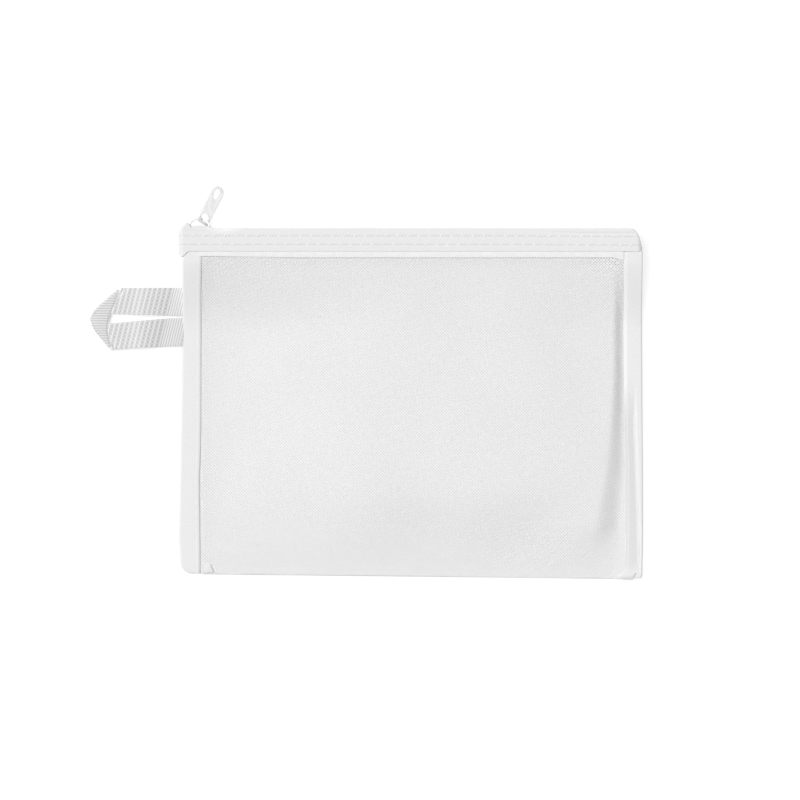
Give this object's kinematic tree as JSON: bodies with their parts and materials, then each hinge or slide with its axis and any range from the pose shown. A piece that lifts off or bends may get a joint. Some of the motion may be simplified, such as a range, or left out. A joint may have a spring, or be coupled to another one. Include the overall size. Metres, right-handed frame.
{
  "type": "mesh zip pouch",
  "caption": "Flat white mesh pouch for papers with bound sides, a coil zip with slider and pull tab along the top, and a folded webbing loop.",
  "frame": {"origin": "middle of the body, on the plane that the back panel lies on", "axes": "+X to the right along the zip, +Y from the folded bottom towards the zip, +Z from the back panel to the front panel"},
  "size_m": [0.2847, 0.2017, 0.01],
  "materials": {
    "mesh": "open woven polyester mesh",
    "binding": "woven polyester binding tape",
    "tape": "woven zip tape",
    "coil": "nylon monofilament coil",
    "paint": "white enamelled zinc casting",
    "webbing": "ribbed woven webbing",
    "thread": "polyester sewing thread"
  },
  "bodies": {
    "bag": {"mesh_body": "mesh", "binding_left": "binding", "binding_right": "binding", "zip_tape_front": "tape", "zip_tape_back": "tape", "zip_coil_front": "coil", "zip_coil_back": "coil", "tape_thread_front_upper": "thread", "tape_thread_front_lower": "thread", "tape_thread_back_upper": "thread", "tape_thread_back_lower": "thread", "binding_thread_left_front": "thread", "binding_thread_left_back": "thread", "binding_thread_right_front": "thread", "binding_thread_right_back": "thread"},
    "slider": {"slider_body": "paint"},
    "pull": {"pull_tab": "paint"},
    "loop": {"hanging_loop": "webbing"}
  },
  "joints": [
    {"name": "slider_slide", "type": "slide", "parent": "bag", "child": "slider", "axis": [1, 0, 0], "range_m": [0, 0.2145], "deforming": ["zip_coil_front", "zip_coil_back"]},
    {"name": "pull_swing", "type": "hinge", "parent": "slider", "child": "pull", "pos_m": [-0.1075, 0.09313, 0.005], "axis": [0.61, -0.3812, -0.6947], "range_deg": [0, 38]},
    {"name": "loop_swing", "type": "hinge", "parent": "bag", "child": "loop", "pos_m": [-0.1196, 0.0435, 0.0008], "axis": [0, 1, 0], "range_deg": [0, 95]}
  ]
}
